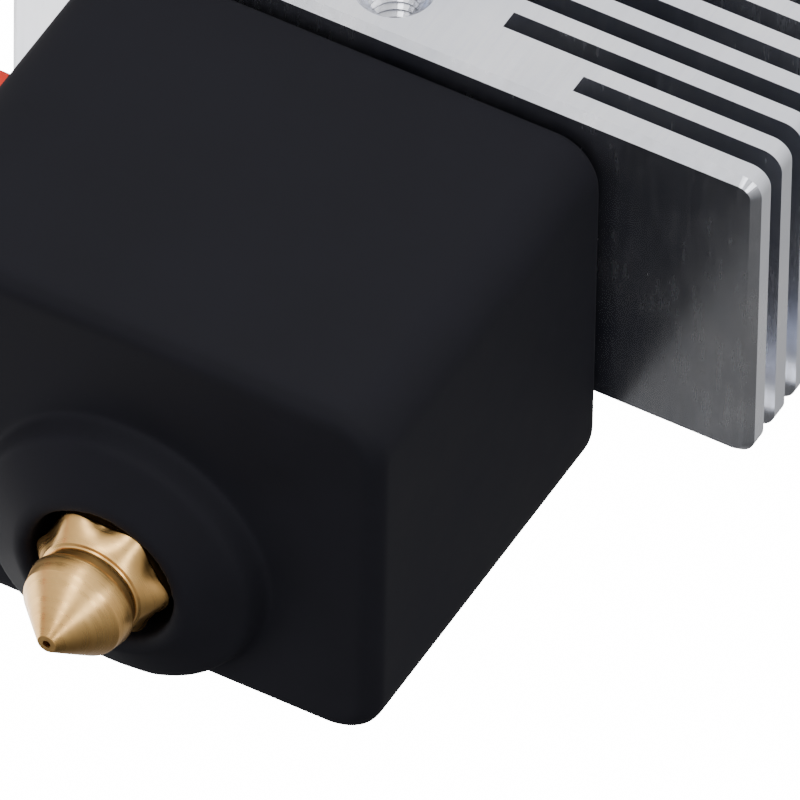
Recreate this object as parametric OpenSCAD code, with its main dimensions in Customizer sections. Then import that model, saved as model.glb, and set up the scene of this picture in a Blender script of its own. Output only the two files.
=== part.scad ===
// Hotend assembly for a filament printer: finned heatsink, bi-metal heat break, heater block
// with its cartridges, brass nozzle and a pull-off silicone sock.
// Millimetres, +Z up, nozzle down. The origin is on the filament axis, at the top face of the
// heatsink. The front, with the set screw's hole, faces -Y.

/* [Heatsink] */
// width of the heatsink, left to right
sink_w = 39.2; // [38.6:0.2:42]
// how far the heatsink's middle lies to the right of the filament axis
sink_x = 1; // [0:0.1:1.4]
// depth of the heatsink, front to back
sink_d = 17.9; // [17.5:0.1:20]
// height of the heatsink
sink_h = 30; // [30:2:30]
// distance from the filament axis to the front face
sink_front = 14.4; // [14:0.1:15]
// radius of the heatsink's upright corners
sink_corner_r = 1; // [0.6:0.1:2]
// chamfer around the bottom and top faces
sink_chamfer = 0.39; // [0.2:0.01:0.5]
// distance from one fin to the next
fin_pitch = 2; // [2:0.5:2]
// height of each slot between two fins
slot_h = 1.04; // [0.8:0.02:1.2]
// thickness of the lowest plate
base_plate = 1.25; // [1.1:0.05:1.5]
// number of slots
slot_count = 12; // [10:1:12]
// distance from the axis to the end of the lowest slot
low_slot_end = 10.25; // [9.5:0.05:12]
// distance from the axis to the end of the second slot
second_slot_end = 5.5; // [5:0.1:8]
// radius of the core that the fins stand on
core_r = 6; // [5.5:0.1:7]
// height of the set screw's hole above the bottom face
side_hole_z = 2.96; // [2.9:0.02:3.1]

/* [Heater block] */
// width of the heater block
block_w = 23.1; // [22.9:0.1:23.1]
// depth of the heater block
block_d = 17.3; // [17.1:0.1:17.3]
// height of the heater block
block_h = 17.9; // [17.7:0.1:17.9]
// gap between the heatsink and the heater block
break_gap = 1.86; // [1.8:0.02:2.2]
// diameter of the heater cartridge
heater_d = 6; // [6:0.1:6]
// length of the heater cartridge
heater_len = 20; // [18:0.5:20]
// diameter of the thermistor cartridge
sensor_d = 3; // [3:0.1:3]
// length of the thermistor cartridge
sensor_len = 15; // [12:0.5:15]

/* [Nozzle] */
// orifice diameter
orifice_d = 0.4; // [0.2:0.1:0.8]
// distance from the nozzle's tip to the top of its hexagon
hex_top = 8.3; // [8:0.1:8.4]
// width of the hexagon across its flats
hex_af = 6; // [5.8:0.1:6]
// length of the nozzle's thread
thread_len = 7.5; // [6:0.5:7.5]

/* [Silicone sock] */
// width of the sock
sock_w = 26.5; // [26.2:0.1:27]
// depth of the sock
sock_d = 20.55; // [20.4:0.05:21]
// height of the sock without its collar
sock_h = 21.06; // [21:0.02:21.4]
// radius of the sock's upright corners
sock_corner_r = 2.4; // [1.8:0.1:3]
// radius of the hole for the nozzle
sock_hole_r = 3.85; // [3.7:0.05:4]
// radius of the collar around that hole, at its edge
collar_r = 6.86; // [6:0.02:7]

/* [Push fitting] */
// outside diameter of the tube that the fitting takes
tube_d = 4; // [4:0.1:4]
// how far the collet can be pressed in
collet_travel = 0.8; // [0.5:0.1:0.9]

/* [Lead] */
// diameter of the heater's lead
lead_d = 2; // [1.6:0.1:2]

/* [Output] */
// sub-part to draw

/* [Hidden] */
$fn = 48;
eps = 0.01;
slack = 0.05;
sink_bottom = -sink_h;
sink_back = sink_d - sink_front;
sink_mid_y = (sink_back - sink_front) / 2;
spine_w = 10;
spine_back = 7;
mount_x = 15;
mount_r = 1.25;
mount_depth = 5;
m3_r = 1.25;
m3_major = 1.5;
m3_mouth_r = 1.95;

sleeve_r = 3.5;
sleeve_top = -12;
filament_r = 1.05;
break_inner_r = 1.75;
neck_r = 1.6;
socket_r = tube_d / 2 + 0.1;
stud_r = 2.95;
m6_r = 3;

seat_r = 4.9;
seat_depth = 5;
seat_bore = 3.2;
collet_r = seat_bore - slack;
collet_len = 3.6;
collet_head_r = 4.2;
collet_head_h = 1.1;
collet_gap = collet_travel + 0.1;
teeth_h = 0.4;

block_top = sink_bottom - break_gap;
block_bottom = block_top - block_h;
sock_x = -0.45;
sock_y = -3.23;
heater_y = -7.9;
heater_z = -36.4;
sensor_y = -6.5;
sensor_z = -44.5;
block_left = sock_x - block_w / 2;
heater_left = block_left - 0.6;
sensor_left = block_left - 0.3;
heater_screw_x = 5;
sensor_screw_x = -6;
grub_len = 4;
sensor_grub_len = 3;
heater_wall = 0.5;
core_r_in = 1.7;
seal_len = 1.2;
sensor_wall = 0.25;

sock_top = sink_bottom - 0.3;
sock_bottom = sock_top - sock_h;
sock_wall_floor = block_bottom - 0.05 - sock_bottom;
cavity_gap = 0.05;
sock_edge_r = 0.6;
collar_inset = 0.45;
flank_h = 1.4;
dome_h = 1.34;
ring_z = sock_bottom - flank_h;
collar_z = ring_z - dome_h;

tip_z = -59;
tip_r = 0.5;
hex_r = hex_af / sqrt(3);
nozzle_profile = [
  [0, 0], [tip_r, 0], [2.5, 2.2], [2.7, 3.1], [2.7, 3.2], [2.46, 3.35], [2.46, 3.95],
  [2.62, 4.08], [0, 4.08]
];
collar_start = 4.08;
flare_r = 2.62;
flare_sides = 96;
hex_start = 5.15;
rim_thin = 0.02;
shank_top = tip_z + hex_top + thread_len;
stud_bottom = shank_top + 0.05;

// route of the heater's lead, from its seal to its plug
lead_route = [
  [-13, -7.9, -36.4], [-17, -7.9, -36.4], [-21, -7.9, -36.4], [-24.5, -7.9, -36.6],
  [-27.3, -7.9, -37.6], [-29.5, -7.9, -39.4], [-30.7, -7.9, -42], [-31, -7.9, -45],
  [-31, -7.9, -50], [-31, -7.9, -56], [-31, -7.9, -62], [-31, -7.9, -68], [-31, -7.9, -74],
  [-31, -7.9, -80], [-31, -7.9, -86], [-31, -7.9, -92], [-31, -7.9, -98],
  [-31, -7.9, -104], [-31, -7.9, -110], [-31, -7.9, -116]
];
lead_end = lead_route[len(lead_route) - 1];
lead_hole_len = 1.6;
plug_w = 6.4;
plug_d = 5;
plug_h = 13;
plug_wall = 0.8;
contact_x = 1.3;

// rounded rectangle in the XY plane, centred
module round_rect(w, d, r) {
  square([w - 2 * r, d], center = true);
  square([w, d - 2 * r], center = true);
  for (sx = [-1, 1], sy = [-1, 1])
    translate([sx * (w / 2 - r), sy * (d / 2 - r)])
      circle(r = r);
}

// rounded block whose top and bottom edges are chamfered, standing on z = 0
module chamfered_block(w, d, h, r, c) {
  hull() {
    translate([0, 0, c])
      linear_extrude(h - 2 * c)
        round_rect(w, d, r);
    linear_extrude(h)
      round_rect(w - 2 * c, d - 2 * c, r - c);
  }
}

// cylinder that runs from the given point along +X
module along_x(x, y, z, r, length) {
  translate([x, y, z])
    rotate([0, 90, 0])
      cylinder(r = r, h = length);
}

// the gap between two fins, cut from both sides up to the given distance from the axis
module fin_slot(z, inner) {
  for (side = [-1, 1])
    translate([side > 0 ? inner : -inner - sink_w, -sink_front - 1, z])
      cube([sink_w, sink_d + 2, slot_h]);
}

// the gap between two upper fins: all that is outside the core and its spine
module ring_slot(z) {
  translate([0, 0, z])
    linear_extrude(slot_h)
      difference() {
        translate([-sink_w, -sink_front - 1])
          square([2 * sink_w, sink_d + 2]);
        circle(r = core_r);
        translate([-spine_w / 2, 0])
          square([spine_w, spine_back + 2]);
      }
}

module heatsink() {
  color([0.8, 0.81, 0.82])
    difference() {
      union() {
        translate([sink_x, sink_mid_y, sink_bottom])
          chamfered_block(sink_w, sink_d, sink_h, sink_corner_r, sink_chamfer);
        translate([-spine_w / 2, 0, sink_bottom])
          cube([spine_w, spine_back, sink_h]);
      }
      fin_slot(sink_bottom + base_plate, low_slot_end);
      fin_slot(sink_bottom + base_plate + fin_pitch, second_slot_end);
      for (i = [2 : slot_count - 1])
        ring_slot(sink_bottom + base_plate + i * fin_pitch);
      translate([0, 0, sink_bottom - 1])
        cylinder(r = sleeve_r + 0.02, h = sleeve_top - sink_bottom + 1);
      translate([0, 0, sleeve_top - 1])
        cylinder(r = socket_r, h = -sleeve_top + 2);
      translate([0, 0, -seat_depth])
        cylinder(r = seat_r + 0.02, h = seat_depth + 1);
      translate([0, 0, sink_bottom + side_hole_z])
        rotate([90, 0, 0])
          cylinder(r = m3_major, h = sink_front + 1);
      translate([0, -sink_front + 0.45, sink_bottom + side_hole_z])
        rotate([90, 0, 0])
          cylinder(r1 = m3_major, r2 = m3_mouth_r + 0.02, h = 0.47);
      for (side = [-1, 1])
        translate([side * mount_x, 0, -mount_depth])
          cylinder(r = mount_r, h = mount_depth + 1);
    }
}

module break_sleeve() {
  color([0.72, 0.42, 0.26])
    difference() {
      translate([0, 0, sink_bottom])
        cylinder(r = sleeve_r, h = sleeve_top - sink_bottom);
      translate([0, 0, sink_bottom - 1])
        cylinder(r = break_inner_r, h = sleeve_top - sink_bottom + 2);
    }
}

module break_tube() {
  color([0.55, 0.54, 0.52])
    difference() {
      union() {
        translate([0, 0, stud_bottom])
          cylinder(r = stud_r, h = block_top - stud_bottom);
        translate([0, 0, block_top - eps])
          cylinder(r = neck_r, h = sleeve_top - block_top + eps);
      }
      translate([0, 0, stud_bottom - 1])
        cylinder(r = filament_r, h = sleeve_top - stud_bottom + 2);
    }
}

// socket set screw: its point is at the origin and its socket faces -Z
module set_screw(r, length, key_r) {
  difference() {
    union() {
      translate([0, 0, -length])
        cylinder(r = r, h = length - 0.4);
      translate([0, 0, -0.4 - eps])
        cylinder(r1 = r, r2 = r * 0.6, h = 0.4 + eps);
    }
    translate([0, 0, -length - 1])
      cylinder(r = key_r, h = 2.2, $fn = 6);
  }
}

module sink_screw() {
  color([0.16, 0.16, 0.17])
    translate([0, -sleeve_r - slack, sink_bottom + side_hole_z])
      rotate([-90, 0, 0])
        set_screw(m3_major - 0.03, grub_len, 0.87);
}

module collet_seat() {
  color([0.8, 0.66, 0.36])
    difference() {
      translate([0, 0, -seat_depth])
        cylinder(r = seat_r, h = seat_depth + 0.3);
      translate([0, 0, -seat_depth - 1])
        cylinder(r = seat_bore, h = seat_depth + 3);
    }
}

module collet() {
  color([0.1, 0.1, 0.11])
    difference() {
      union() {
        translate([0, 0, 0.3 + collet_gap - collet_len])
          cylinder(r = collet_r, h = collet_len);
        translate([0, 0, 0.3 + collet_gap])
          cylinder(r = collet_head_r, h = collet_head_h);
      }
      translate([0, 0, -seat_depth - 1])
        cylinder(r = socket_r, h = 2 * seat_depth);
    }
}

module collet_teeth() {
  color([0.7, 0.71, 0.72])
    translate([0, 0, 0.3 + collet_gap - collet_len - teeth_h])
      difference() {
        cylinder(r = collet_r - 0.15, h = teeth_h);
        translate([0, 0, -1])
          cylinder(r = socket_r - 0.05, h = teeth_h + 2);
      }
}

module heater_block() {
  color([0.75, 0.73, 0.7])
    difference() {
      translate([sock_x, sock_y, block_bottom])
        chamfered_block(block_w, block_d, block_h, 1.2, 0.4);
      translate([0, 0, block_bottom - 1])
        cylinder(r = m6_r, h = block_h + 2);
      along_x(block_left - 1, heater_y, heater_z, heater_d / 2 + slack, heater_len + 0.6);
      along_x(block_left - 1, sensor_y, sensor_z, sensor_d / 2 + slack, sensor_len + 0.9);
      translate([heater_screw_x, heater_y, block_bottom - 1])
        cylinder(r = m3_major, h = heater_z - block_bottom + 1);
      translate([sensor_screw_x, sensor_y, block_bottom - 1])
        cylinder(r = m3_major, h = sensor_z - block_bottom + 1);
    }
}

module heater_screw() {
  color([0.2, 0.2, 0.2])
    translate([heater_screw_x, heater_y, heater_z - heater_d / 2 - 0.06])
      set_screw(m3_major - 0.03, grub_len, 0.87);
}

module sensor_screw() {
  color([0.2, 0.2, 0.2])
    translate([sensor_screw_x, sensor_y, sensor_z - sensor_d / 2 - 0.06])
      set_screw(m3_major - 0.03, sensor_grub_len, 0.87);
}

module heater_sheath() {
  color([0.72, 0.72, 0.7])
    difference() {
      along_x(heater_left, heater_y, heater_z, heater_d / 2, heater_len);
      along_x(heater_left - 1, heater_y, heater_z, heater_d / 2 - heater_wall,
              heater_len + 1 - heater_wall);
    }
}

module heater_core() {
  color([0.9, 0.88, 0.82])
    along_x(heater_left + seal_len, heater_y, heater_z, core_r_in,
            heater_len - seal_len - 1);
}

module heater_coil() {
  color([0.5, 0.45, 0.4])
    difference() {
      along_x(heater_left + 2, heater_y, heater_z, core_r_in + 0.5, heater_len - 4);
      along_x(heater_left + 1, heater_y, heater_z, core_r_in, heater_len);
    }
}

module heater_seal() {
  color([0.88, 0.86, 0.8])
    difference() {
      along_x(heater_left - 0.8, heater_y, heater_z, heater_d / 2 - heater_wall,
              seal_len + 0.8);
      along_x(heater_left - 2, heater_y, heater_z, lead_d / 2, lead_hole_len);
    }
}

// a ring of points around the route's point i, square to the route there
function unit(v) = v / norm(v);
function heading(p, i) = unit(p[min(i + 1, len(p) - 1)] - p[max(i - 1, 0)]);
function ring(p, i, r, sides) =
  let (t = heading(p, i), v = [0, 1, 0], u = cross(v, t))
  [for (k = [0 : sides - 1])
    p[i] + r * (cos(360 * k / sides) * u + sin(360 * k / sides) * v)];

// a tube of the given radius along the points of a route in one XZ plane
module swept_tube(p, r, sides) {
  n = len(p);
  points = [for (i = [0 : n - 1]) each ring(p, i, r, sides)];
  walls = [
    for (i = [0 : n - 2], k = [0 : sides - 1])
      [i * sides + k, i * sides + (k + 1) % sides,
       (i + 1) * sides + (k + 1) % sides, (i + 1) * sides + k]
  ];
  first_cap = [for (k = [0 : sides - 1]) sides - 1 - k];
  last_cap = [for (k = [0 : sides - 1]) (n - 1) * sides + k];
  polyhedron(points = points, faces = concat([first_cap], walls, [last_cap]));
}

module heater_lead() {
  color([0.84, 0.2, 0.13])
    swept_tube(lead_route, lead_d / 2, 8);
}

module lead_plug() {
  color([0.92, 0.91, 0.87])
    translate([lead_end[0], lead_end[1], lead_end[2] - plug_h])
      difference() {
        translate([-plug_w / 2, -plug_d / 2, 0])
          cube([plug_w, plug_d, plug_h]);
        for (side = [-1, 1])
          translate([side * contact_x, 0, -1])
            cylinder(r = 0.9, h = plug_h - 2);
      }
}

module lead_contacts() {
  color([0.78, 0.78, 0.76])
    for (side = [-1, 1])
      translate([lead_end[0] + side * contact_x, lead_end[1], lead_end[2] - plug_h + 0.6])
        cylinder(r = 0.6, h = plug_h - 3.6);
}

module sensor_sheath() {
  color([0.74, 0.74, 0.73])
    difference() {
      along_x(sensor_left, sensor_y, sensor_z, sensor_d / 2, sensor_len);
      along_x(sensor_left - 1, sensor_y, sensor_z, sensor_d / 2 - sensor_wall,
              sensor_len + 1 - sensor_wall);
    }
}

module sensor_bead() {
  color([0.55, 0.3, 0.15])
    translate([sensor_left + sensor_len - 2, sensor_y, sensor_z])
      sphere(r = 0.8, $fn = 32);
}

module sensor_seal() {
  color([0.9, 0.9, 0.88])
    along_x(sensor_left - 0.4, sensor_y, sensor_z, sensor_d / 2 - sensor_wall, 1.6);
}

module nozzle() {
  color([0.82, 0.6, 0.28])
    translate([0, 0, tip_z])
      difference() {
        union() {
          rotate_extrude()
            polygon(nozzle_profile);
          hull() {
            translate([0, 0, collar_start - rim_thin])
              cylinder(r = flare_r, h = rim_thin, $fn = flare_sides);
            translate([0, 0, hex_start])
              cylinder(r = hex_r, h = rim_thin, $fn = 6);
          }
          translate([0, 0, hex_start])
            cylinder(r = hex_r, h = hex_top - hex_start, $fn = 6);
          translate([0, 0, hex_top - eps])
            cylinder(r = stud_r, h = thread_len + eps);
        }
        translate([0, 0, -1])
          cylinder(r = orifice_d / 2, h = 4);
        translate([0, 0, 1])
          cylinder(r1 = orifice_d / 2, r2 = filament_r, h = 1.2);
        translate([0, 0, 2.2 - eps])
          cylinder(r = filament_r, h = hex_top + thread_len);
      }
}

// the sock's outer shell: a rounded box, its rim and the collar around the nozzle
module sock_body() {
  translate([sock_x, sock_y, sock_bottom])
    chamfered_block(sock_w, sock_d, sock_h, sock_corner_r, sock_edge_r);
  intersection() {
    translate([sock_x, sock_y, collar_z - 1])
      linear_extrude(4)
        round_rect(sock_w - 2 * collar_inset, sock_d - 2 * collar_inset, sock_corner_r);
    union() {
      translate([0, 0, ring_z - eps])
        cylinder(r1 = collar_r, r2 = collar_r + 0.6, h = flank_h + 0.5);
      translate([0, 0, collar_z])
        cylinder(r1 = sock_hole_r + 0.5, r2 = collar_r, h = dome_h);
    }
  }
}

module silicone_sock() {
  color([0.13, 0.13, 0.15])
    difference() {
      sock_body();
      translate([sock_x, sock_y, block_bottom - cavity_gap + block_h])
        cube([block_w + 2 * cavity_gap, block_d + 2 * cavity_gap, 2 * block_h],
             center = true);
      translate([0, 0, collar_z - 1])
        cylinder(r = sock_hole_r, h = 8);
      translate([sock_x - sock_w / 2 - 1, heater_y - heater_d / 2 - 0.5, heater_z])
        cube([5, heater_d + 1, 20]);
      along_x(sock_x - sock_w / 2 - 1, heater_y, heater_z, heater_d / 2 + 0.5, 5);
      translate([sock_x - sock_w / 2 - 1, sensor_y - sensor_d / 2 - 0.4, sensor_z])
        cube([5, sensor_d + 0.8, 20]);
      along_x(sock_x - sock_w / 2 - 1, sensor_y, sensor_z, sensor_d / 2 + 0.4, 5);
    }
}

heatsink();
break_sleeve();
break_tube();
sink_screw();
collet_seat();
collet();
collet_teeth();
heater_block();
heater_screw();
sensor_screw();
heater_sheath();
heater_core();
heater_coil();
heater_seal();
heater_lead();
lead_plug();
lead_contacts();
sensor_sheath();
sensor_bead();
sensor_seal();
nozzle();
silicone_sock();
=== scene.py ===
"""Hotend assembly: finned heatsink, black silicone sock, brass nozzle and a red heater lead.

Everything is in metres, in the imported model's frame: the origin is on the filament axis at the
heatsink's top face, -Y is the front and the nozzle points down.
"""

import math

import bpy
import numpy as np
from mathutils import Matrix, Vector


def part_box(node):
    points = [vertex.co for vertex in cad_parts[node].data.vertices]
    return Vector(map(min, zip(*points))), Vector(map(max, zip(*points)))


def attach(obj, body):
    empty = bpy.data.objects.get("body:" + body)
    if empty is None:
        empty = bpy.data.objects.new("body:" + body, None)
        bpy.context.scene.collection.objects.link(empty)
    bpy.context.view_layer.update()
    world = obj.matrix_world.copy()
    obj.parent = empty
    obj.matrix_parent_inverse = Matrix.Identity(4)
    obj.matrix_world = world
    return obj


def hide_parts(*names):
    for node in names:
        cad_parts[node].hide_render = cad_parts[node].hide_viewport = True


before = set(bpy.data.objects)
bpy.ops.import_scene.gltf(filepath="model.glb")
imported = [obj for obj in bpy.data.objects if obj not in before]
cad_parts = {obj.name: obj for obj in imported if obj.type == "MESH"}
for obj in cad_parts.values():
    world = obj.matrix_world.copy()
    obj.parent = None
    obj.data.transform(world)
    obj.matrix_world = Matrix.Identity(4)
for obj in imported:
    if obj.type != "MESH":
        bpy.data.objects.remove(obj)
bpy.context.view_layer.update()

MM = 0.001


def placed(name, data):
    """A new object in the scene that shows data."""
    obj = bpy.data.objects.new(name, data)
    bpy.context.scene.collection.objects.link(obj)
    return obj


# ---------------------------------------------------------------- camera
VIEW_WIDTH = 36.35 * MM  # what the picture spans at the point looked at
VIEW_DISTANCE = 1.3
LOOK_AT = Vector((9.82, -7.48, -43.88)) * MM
FORWARD = Vector((-0.3306, 0.7223, 0.6074)).normalized()
UP_HINT = Vector((-0.361, -0.6914, 0.6258))


def make_camera():
    data = bpy.data.cameras.new("camera")
    data.lens = data.sensor_width * VIEW_DISTANCE / VIEW_WIDTH
    data.clip_start = 0.1
    data.clip_end = 20
    cam = placed("camera", data)
    right = FORWARD.cross(UP_HINT).normalized()
    up = right.cross(FORWARD)
    turn = Matrix((right, up, -FORWARD)).transposed()
    cam.matrix_world = Matrix.Translation(LOOK_AT - FORWARD * VIEW_DISTANCE) @ turn.to_4x4()
    bpy.context.scene.camera = cam


make_camera()


# ---------------------------------------------------------------- node helpers
class Tree:
    """A material under construction, with short calls for the nodes that it uses."""

    def __init__(self, name):
        self.mat = bpy.data.materials.new(name)
        self.mat.use_nodes = True
        self.nt = self.mat.node_tree
        self.bsdf = self.nt.nodes["Principled BSDF"]
        self.obj = self.add("ShaderNodeTexCoord").outputs["Object"]

    def add(self, kind, **props):
        n = self.nt.nodes.new(kind)
        for k, v in props.items():
            setattr(n, k, v)
        return n

    def put(self, socket, value):
        if isinstance(value, bpy.types.NodeSocket):
            self.nt.links.new(value, socket)
        else:
            socket.default_value = value

    def scaled(self, factors):
        n = self.add("ShaderNodeMapping")
        self.put(n.inputs["Vector"], self.obj)
        n.inputs["Scale"].default_value = factors
        return n.outputs["Vector"]

    def noise(self, scale, detail=4.0, rough=0.55, vector=None):
        n = self.add("ShaderNodeTexNoise")
        self.put(n.inputs["Vector"], vector or self.obj)
        n.inputs["Scale"].default_value = scale
        n.inputs["Detail"].default_value = detail
        n.inputs["Roughness"].default_value = rough
        return n.outputs["Fac"]

    def cells(self, scale):
        n = self.add("ShaderNodeTexVoronoi")
        self.put(n.inputs["Vector"], self.obj)
        n.inputs["Scale"].default_value = scale
        return n.outputs["Distance"]

    def ramp(self, fac, low, high, a, b):
        """Maps fac from low..high to a..b, clamped."""
        n = self.add("ShaderNodeMapRange")
        self.put(n.inputs["Value"], fac)
        n.inputs["From Min"].default_value = low
        n.inputs["From Max"].default_value = high
        n.inputs["To Min"].default_value = a
        n.inputs["To Max"].default_value = b
        return n.outputs["Result"]

    def math(self, op, a, b=0.0):
        n = self.add("ShaderNodeMath", operation=op)
        self.put(n.inputs[0], a)
        self.put(n.inputs[1], b)
        return n.outputs[0]

    def mix(self, fac, a, b):
        n = self.add("ShaderNodeMix", data_type="RGBA")
        self.put(n.inputs[0], fac)
        self.put(n.inputs[6], a)
        self.put(n.inputs[7], b)
        return n.outputs[2]

    def bump(self, height, strength, distance, normal=None):
        n = self.add("ShaderNodeBump")
        n.inputs["Strength"].default_value = strength
        n.inputs["Distance"].default_value = distance
        self.put(n.inputs["Height"], height)
        if normal is not None:
            self.put(n.inputs["Normal"], normal)
        return n.outputs["Normal"]

    def shader(self, **values):
        for k, v in values.items():
            self.put(self.bsdf.inputs[k.replace("_", " ")], v)
        return self.mat


def rgb(r, g, b):
    return (r, g, b, 1.0)


# ---------------------------------------------------------------- materials
def milled_aluminium():
    """Bright aluminium: cutter marks across the edges, a fine haze of scratches, a near mirror."""
    t = Tree("milled_aluminium")
    marks = t.noise(3200, 3, 0.6, t.scaled((1.0, 0.04, 0.03)))
    scratches = t.noise(2600, 3, 0.7, t.scaled((1.0, 0.12, 1.0)))
    cloud = t.noise(110, 5, 0.6)
    colour = t.mix(t.ramp(cloud, 0.3, 0.7, 0.0, 1.0), rgb(0.72, 0.75, 0.84), rgb(0.93, 0.93, 0.97))
    colour = t.mix(t.ramp(marks, 0.4, 0.7, 0.0, 0.3), colour, rgb(0.7, 0.7, 0.72))
    rough = t.math("ADD", t.ramp(cloud, 0.35, 0.7, 0.19, 0.26), t.ramp(marks, 0.4, 0.75, 0.0, 0.02))
    rough = t.math("ADD", rough, t.ramp(scratches, 0.4, 0.7, 0.0, 0.05))
    n1 = t.bump(marks, 0.04, 0.000004)
    n2 = t.bump(scratches, 0.05, 0.000004, n1)
    return t.shader(Base_Color=colour, Metallic=1.0, Roughness=rough, Normal=n2)


PATCH_GAIN = 1.35  # how much lighter than the rest the rubber's light patches are


def silicone(name, base, dust, sheen):
    """Moulded rubber with a soft sheen, a very fine grain and a few specks of dust."""
    t = Tree(name)
    grain = t.noise(4200, 3, 0.6)
    patches = t.noise(130, 4, 0.6)
    speck = t.ramp(t.cells(900), 0.03, 0.07, 1.0, 0.0)
    dusty = t.ramp(t.noise(500, 2), 0.66, 0.7, 0.0, 1.0)
    spot = t.math("MULTIPLY", speck, dusty)
    lighter = tuple(min(1.0, c * PATCH_GAIN) for c in base[:3]) + (1.0,)
    colour = t.mix(t.ramp(patches, 0.35, 0.7, 0.0, 0.7), base, lighter)
    colour = t.mix(spot, colour, dust)
    rough = t.ramp(patches, 0.3, 0.7, 0.62, 0.74)
    normal = t.bump(grain, 0.12, 0.00001)
    return t.shader(Base_Color=colour, Roughness=rough, Normal=normal, Specular_IOR_Level=sheen)


def turned(name, base, dark, roughness, rings=5200.0):
    """Lathe-turned metal: fine rings around the vertical axis and a slightly uneven polish."""
    t = Tree(name)
    ring = t.noise(rings, 2, 0.5, t.scaled((0.04, 0.04, 1.0)))
    stain = t.noise(420, 4, 0.6)
    colour = t.mix(t.ramp(stain, 0.35, 0.72, 0.0, 1.0), base, dark)
    rough = t.math("ADD", t.ramp(ring, 0.35, 0.65, 0.0, 0.1), roughness)
    normal = t.bump(ring, 0.25, 0.00001)
    return t.shader(Base_Color=colour, Metallic=1.0, Roughness=rough, Normal=normal)


def drawn(name, base, dark, roughness):
    """Drawn or cut metal, streaked along X."""
    t = Tree(name)
    streak = t.noise(2400, 3, 0.6, t.scaled((0.05, 1.0, 1.0)))
    stain = t.noise(350, 4, 0.6)
    colour = t.mix(t.ramp(stain, 0.35, 0.72, 0.0, 1.0), base, dark)
    rough = t.math("ADD", t.ramp(streak, 0.35, 0.65, 0.0, 0.12), roughness)
    normal = t.bump(streak, 0.2, 0.00001)
    return t.shader(Base_Color=colour, Metallic=1.0, Roughness=rough, Normal=normal)


def moulded(name, base, dark, roughness, grain_scale, strength=0.15):
    """Plastic, ceramic or glass: mottled colour and a fine surface grain."""
    t = Tree(name)
    mottle = t.noise(300, 4, 0.6)
    grain = t.noise(grain_scale, 3, 0.6)
    colour = t.mix(t.ramp(mottle, 0.35, 0.7, 0.0, 1.0), base, dark)
    rough = t.ramp(grain, 0.3, 0.7, roughness - 0.05, roughness + 0.07)
    normal = t.bump(grain, strength, 0.00002)
    return t.shader(Base_Color=colour, Roughness=rough, Normal=normal)


ALU = milled_aluminium()
SOCK = silicone("sock_silicone", rgb(0.0078, 0.0078, 0.0108), rgb(0.16, 0.16, 0.17), 0.08)
BRASS = turned("turned_brass", rgb(0.87, 0.54, 0.2), rgb(0.74, 0.42, 0.14), 0.24)
LEAD = silicone("lead_silicone", rgb(0.66, 0.02, 0.006), rgb(0.72, 0.12, 0.08), 0.4)
BY_NODE = {
    "heatsink": ALU,
    "silicone_sock": SOCK,
    "nozzle": BRASS,
    "break_sleeve": turned("drawn_copper", rgb(0.78, 0.42, 0.27), rgb(0.6, 0.3, 0.2), 0.28),
    "break_tube": turned("turned_titanium", rgb(0.5, 0.48, 0.46), rgb(0.38, 0.36, 0.35), 0.3),
    "collet_seat": turned("turned_seat_brass", rgb(0.8, 0.64, 0.34), rgb(0.66, 0.5, 0.26), 0.25),
    "collet": moulded("collet_plastic", rgb(0.012, 0.012, 0.014), rgb(0.02, 0.02, 0.022), 0.3, 2500),
    "collet_teeth": drawn("spring_steel", rgb(0.66, 0.67, 0.68), rgb(0.5, 0.5, 0.52), 0.25),
    "heater_block": drawn("plated_block", rgb(0.72, 0.7, 0.67), rgb(0.55, 0.52, 0.48), 0.3),
    "heater_sheath": drawn("heater_steel", rgb(0.66, 0.65, 0.63), rgb(0.5, 0.46, 0.4), 0.25),
    "heater_core": moulded("core_ceramic", rgb(0.8, 0.77, 0.7), rgb(0.7, 0.66, 0.58), 0.7, 3000),
    "heater_coil": drawn("resistance_wire", rgb(0.4, 0.36, 0.32), rgb(0.25, 0.22, 0.2), 0.4),
    "heater_seal": moulded("heater_cement", rgb(0.78, 0.75, 0.68), rgb(0.62, 0.58, 0.5), 0.85, 2200, 0.5),
    "lead_plug": moulded("plug_nylon", rgb(0.8, 0.78, 0.72), rgb(0.72, 0.69, 0.62), 0.45, 1800),
    "lead_contacts": drawn("tinned_contacts", rgb(0.7, 0.7, 0.68), rgb(0.55, 0.55, 0.53), 0.25),
    "sensor_sheath": drawn("sensor_steel", rgb(0.68, 0.68, 0.67), rgb(0.5, 0.48, 0.45), 0.22),
    "sensor_bead": moulded("bead_glass", rgb(0.45, 0.2, 0.06), rgb(0.3, 0.12, 0.04), 0.1, 900, 0.05),
    "sensor_seal": moulded("sensor_cement", rgb(0.8, 0.79, 0.75), rgb(0.66, 0.64, 0.6), 0.85, 2200, 0.5),
}
BLACK_STEEL = drawn("black_oxide", rgb(0.05, 0.05, 0.055), rgb(0.09, 0.085, 0.08), 0.35)
for screw in ("sink_screw", "heater_screw", "sensor_screw"):
    BY_NODE[screw] = BLACK_STEEL
for node, material in BY_NODE.items():
    for slot in bpy.data.objects[node].material_slots:
        slot.material = material


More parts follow.
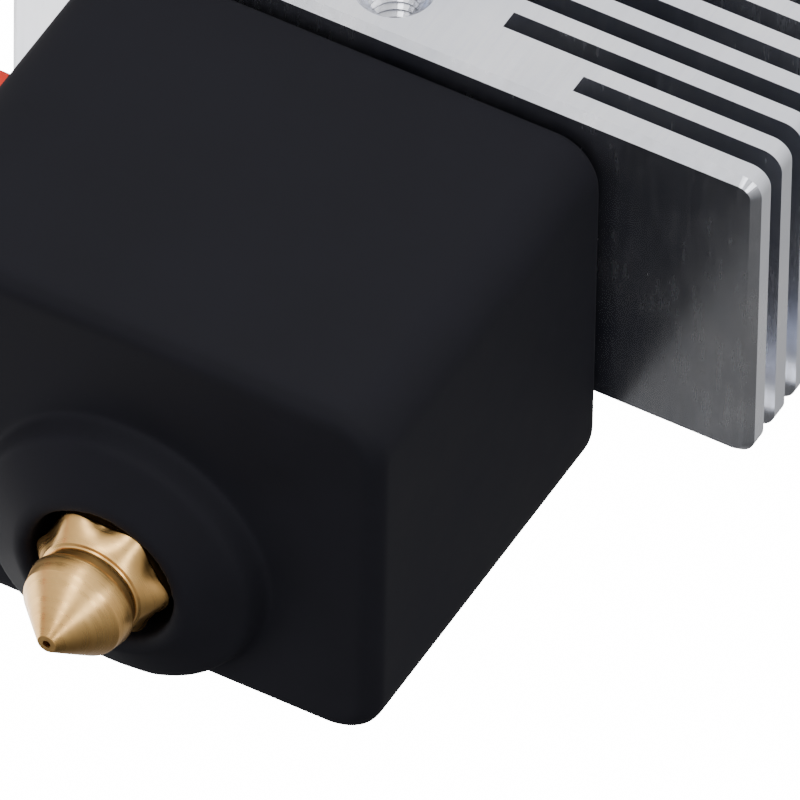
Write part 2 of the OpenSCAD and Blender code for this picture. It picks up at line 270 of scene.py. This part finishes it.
# ---------------------------------------------------------------- the red lead
LEAD_ROUTE = [  # millimetres
    (-13, -7.9, -36.4), (-17, -7.9, -36.4), (-21, -7.9, -36.4), (-24.5, -7.9, -36.6),
    (-27.3, -7.9, -37.6), (-29.5, -7.9, -39.4), (-30.7, -7.9, -42), (-31, -7.9, -45),
    (-31, -7.9, -50), (-31, -7.9, -56), (-31, -7.9, -62), (-31, -7.9, -68),
    (-31, -7.9, -74), (-31, -7.9, -80), (-31, -7.9, -86), (-31, -7.9, -92),
    (-31, -7.9, -98), (-31, -7.9, -104), (-31, -7.9, -110), (-31, -7.9, -116),
]
LEAD_DIAMETER = 2 * MM
LEAD_FIT = 0.99  # keeps the round lead inside the CAD one
LEAD_STEPS = 4  # points of the smooth route between two points of LEAD_ROUTE


def smooth_route(points, steps):
    """Catmull-Rom points through the route, so that the bend is round."""
    ends = [2 * points[0] - points[1], *points, 2 * points[-1] - points[-2]]
    out = []
    for a, b, c, d in zip(ends, ends[1:], ends[2:], ends[3:]):
        for k in range(steps):
            s = k / steps
            out.append(0.5 * (2 * b + (c - a) * s + (2 * a - 5 * b + 4 * c - d) * s**2
                              + (3 * b - a - 3 * c + d) * s**3))
    return out + [points[-1]]


def make_lead():
    curve = bpy.data.curves.new("red_lead", "CURVE")
    curve.dimensions = "3D"
    curve.bevel_depth = LEAD_DIAMETER / 2 * LEAD_FIT
    curve.bevel_resolution = 6
    curve.use_fill_caps = True
    spline = curve.splines.new("POLY")
    points = smooth_route([Vector(p) * MM for p in LEAD_ROUTE], LEAD_STEPS)
    spline.points.add(len(points) - 1)
    for p, at in zip(spline.points, points):
        p.co = (*at, 1)
    lead = placed("red_lead", curve)
    curve.materials.append(LEAD)
    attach(lead, "heater")
    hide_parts("heater_lead")


make_lead()


# ---------------------------------------------------------------- the soft sock
SOCK_VOXEL = 0.2 * MM
SOCK_SMOOTHING = 6
SOCK_SWELL = 0.12 * MM  # what the smoothing takes off


def baked(obj, name):
    """A new mesh object that holds obj's modifiers applied; obj itself is removed."""
    mesh = bpy.data.meshes.new_from_object(obj.evaluated_get(bpy.context.evaluated_depsgraph_get()))
    mesh.name = name
    bpy.data.objects.remove(obj)
    return placed(name, mesh)


def make_sock():
    """The moulded sock: the CAD shape with every edge and the collar's foot rounded off."""
    work = placed("sock_work", bpy.data.objects["silicone_sock"].data.copy())
    remesh = work.modifiers.new("even", "REMESH")
    remesh.mode = "VOXEL"
    remesh.voxel_size = SOCK_VOXEL
    smooth = work.modifiers.new("soft", "SMOOTH")
    smooth.factor = 0.5
    smooth.iterations = SOCK_SMOOTHING
    swell = work.modifiers.new("swell", "DISPLACE")
    swell.mid_level = 0
    swell.strength = SOCK_SWELL
    sock = baked(work, "moulded_sock")
    sock.data.materials.clear()
    sock.data.materials.append(SOCK)
    sock.data.shade_smooth()
    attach(sock, "sock")
    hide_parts("silicone_sock")


make_sock()


# ---------------------------------------------------------------- the turned nozzle
# millimetres here, with every height measured up from the tip
NOZZLE_SIDES = 120
SHARP_ANGLE = math.radians(14)
ORIFICE_R = 0.2
BORE_R = 1.05
SHANK_R = 2.95
FLAT_R = 3.0  # half of the hexagon's width across its flats
CORNER_R = 3.34  # where the hexagon's corners start to round off
CORNER_LEFT = 0.3  # what is left of the corner past that
FLARE_START = 4.08
FLARE_END = 5.15
FLARE_FOOT_R = 2.62
FLARE_MEAN_R = 3.21
FLARE_SWELL = 0.25  # how far the flare's end swells out at the hexagon's corners
FLARE_ROWS = 7
FLARE_LIP = 0.06
HEX_TOP = 8.3
SHANK_TOP = 15.8
TIP_PROFILE = [  # radius and height
    (ORIFICE_R, 0), (0.47, 0), (0.53, 0.04), (1.5, 1.1), (2.47, 2.17), (2.52, 2.26),
    (2.7, 3.1), (2.7, 3.19), (2.66, 3.26), (2.5, 3.31), (2.46, 3.38), (2.46, 3.94), (2.5, 4.02),
]
BORE_PROFILE = [
    (SHANK_R, HEX_TOP), (SHANK_R, SHANK_TOP), (BORE_R, SHANK_TOP), (BORE_R, 2.2), (ORIFICE_R, 1.0),
]


def hexagon_radius(angle):
    """The distance from the axis to the hexagon, whose corners are rounded a little."""
    r = FLAT_R / math.cos(angle % (math.pi / 3) - math.pi / 6)
    return min(r, CORNER_R + CORNER_LEFT * (r - CORNER_R))


def round_row(radius):
    """The radius at any angle of a round row."""
    return lambda angle: radius


def flare_row(share):
    """The radius at each angle of a row of the flare, round at its foot and wavy at its end."""
    return lambda angle: ((1 - share) * FLARE_FOOT_R
                          + share * (FLARE_MEAN_R + FLARE_SWELL * math.cos(6 * angle)))


def make_nozzle():
    tip_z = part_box("nozzle")[0][2] / MM
    rows = [(z, round_row(r)) for r, z in TIP_PROFILE]
    for k in range(FLARE_ROWS + 1):
        share = k / FLARE_ROWS
        rows.append((FLARE_START + (FLARE_END - FLARE_START) * share, flare_row(share)))
    rows += [(FLARE_END + FLARE_LIP, hexagon_radius), (HEX_TOP, hexagon_radius)]
    rows += [(z, round_row(r)) for r, z in BORE_PROFILE]
    verts, faces = [], []
    for z, reach in rows:
        for k in range(NOZZLE_SIDES):
            a = math.tau * k / NOZZLE_SIDES
            r = reach(a)
            verts.append((r * math.cos(a) * MM, r * math.sin(a) * MM, (tip_z + z) * MM))
    for i in range(len(rows)):
        here, there = i * NOZZLE_SIDES, (i + 1) % len(rows) * NOZZLE_SIDES
        for k in range(NOZZLE_SIDES):
            n = (k + 1) % NOZZLE_SIDES
            faces.append((here + k, here + n, there + n, there + k))
    mesh = bpy.data.meshes.new("turned_nozzle")
    mesh.from_pydata(verts, [], faces)
    mesh.shade_smooth()
    mesh.set_sharp_from_angle(angle=SHARP_ANGLE)
    mesh.materials.append(BRASS)
    nozzle = placed("turned_nozzle", mesh)
    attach(nozzle, "nozzle")
    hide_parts("nozzle")


make_nozzle()


# ---------------------------------------------------------------- thread in the front hole
THREAD_PITCH = 0.5 * MM
THREAD_OUTER = 1.5 * MM
THREAD_INNER = 1.27 * MM
THREAD_TURNS = 11
THREAD_STEPS = 32
THREAD_START = 0.55 * MM  # how deep in the hole the thread starts
HOLE_HEIGHT = 2.96 * MM  # above the heatsink's underside
THREAD_SECTION = (  # radius, and place along the axis in pitches
    (THREAD_OUTER, -0.45), (THREAD_INNER, -0.06), (THREAD_INNER, 0.06), (THREAD_OUTER, 0.45),
)


def make_thread():
    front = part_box("heatsink")[0][1]
    centre_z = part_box("heatsink")[0][2] + HOLE_HEIGHT
    verts, faces = [], []
    for i in range(THREAD_TURNS * THREAD_STEPS + 1):
        a = math.tau * i / THREAD_STEPS
        y = front + THREAD_START + THREAD_PITCH * i / THREAD_STEPS
        for r, dy in THREAD_SECTION:
            verts.append((r * math.cos(a), y + dy * THREAD_PITCH, centre_z + r * math.sin(a)))
        if i:
            b, c = 4 * (i - 1), 4 * i
            faces += [(b + k, b + (k + 1) % 4, c + (k + 1) % 4, c + k) for k in range(4)]
    last = len(verts) - 4
    faces += [(3, 2, 1, 0), (last, last + 1, last + 2, last + 3)]
    mesh = bpy.data.meshes.new("front_hole_thread")
    mesh.from_pydata(verts, [], faces)
    mesh.materials.append(ALU)
    thread = placed("front_hole_thread", mesh)
    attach(thread, "body")


make_thread()


# ---------------------------------------------------------------- light and stage
BRIGHT_SIDE = (-0.15, -0.85, 0.5)
DARKEST_AT = -0.9  # the cosine to the bright side at which the gradient starts
FILL_LOW = 0.09
FILL_HIGH = 1.4
WORLD_SEEN = 16.0  # what the camera sees, well past white
ASSEMBLY_MIDDLE = (0.0, -0.005, -0.035)
FLOOR_Z = -2.0
FLOOR_HALF = 1.2


def make_world():
    """White to the camera; a soft gradient, bright in front and above, to everything else."""
    world = bpy.data.worlds.new("studio")
    bpy.context.scene.world = world
    world.use_nodes = True
    nt = world.node_tree
    coord = nt.nodes.new("ShaderNodeTexCoord")
    dot = nt.nodes.new("ShaderNodeVectorMath")
    dot.operation = "DOT_PRODUCT"
    dot.inputs[1].default_value = Vector(BRIGHT_SIDE).normalized()
    fill = nt.nodes.new("ShaderNodeMapRange")
    fill.inputs["From Min"].default_value = DARKEST_AT
    fill.inputs["From Max"].default_value = 1.0
    fill.inputs["To Min"].default_value = FILL_LOW
    fill.inputs["To Max"].default_value = FILL_HIGH
    paths = nt.nodes.new("ShaderNodeLightPath")
    level = nt.nodes.new("ShaderNodeMix")
    level.inputs["B"].default_value = WORLD_SEEN
    nt.links.new(coord.outputs["Generated"], dot.inputs[0])
    nt.links.new(dot.outputs["Value"], fill.inputs["Value"])
    nt.links.new(fill.outputs["Result"], level.inputs["A"])
    nt.links.new(paths.outputs["Is Camera Ray"], level.inputs["Factor"])
    nt.links.new(level.outputs["Result"], nt.nodes["Background"].inputs["Strength"])
    nt.nodes["Background"].inputs["Color"].default_value = rgb(1, 1, 1)


def area_light(name, at, size, power, aim=ASSEMBLY_MIDDLE, size_y=None):
    data = bpy.data.lights.new(name, "AREA")
    data.shape = "RECTANGLE"
    data.size = size
    data.size_y = size_y or size
    data.energy = power
    light = placed(name, data)
    light.location = at
    light.visible_camera = False
    light.rotation_euler = (Vector(aim) - Vector(at)).to_track_quat("-Z", "Y").to_euler()


def make_floor():
    """Pale paper far below the assembly, small enough to stay out of its reflections."""
    mesh = bpy.data.meshes.new("floor")
    corners = ((-1, -1), (1, -1), (1, 1), (-1, 1))
    mesh.from_pydata([(x * FLOOR_HALF, y * FLOOR_HALF, FLOOR_Z) for x, y in corners], [],
                     [(0, 1, 2, 3)])
    paper = Tree("floor_paper")
    colour = paper.mix(paper.noise(3.0), rgb(0.82, 0.82, 0.82), rgb(0.86, 0.86, 0.86))
    mesh.materials.append(paper.shader(Base_Color=colour, Roughness=0.9))
    placed("floor", mesh)


make_world()
area_light("panel_front", (-0.1, -0.75, -0.3), 0.2, 3.4, size_y=1.2)
area_light("panel_right", (0.6, -0.45, -0.35), 0.2, 3.2, size_y=1.2)
area_light("back_fill", (-0.4, 0.6, 0.4), 0.4, 1.2)
area_light("card_left", (-0.042, 0.024, -0.054), 0.05, 0.018, aim=(-0.0175, -0.005, -0.03))
make_floor()
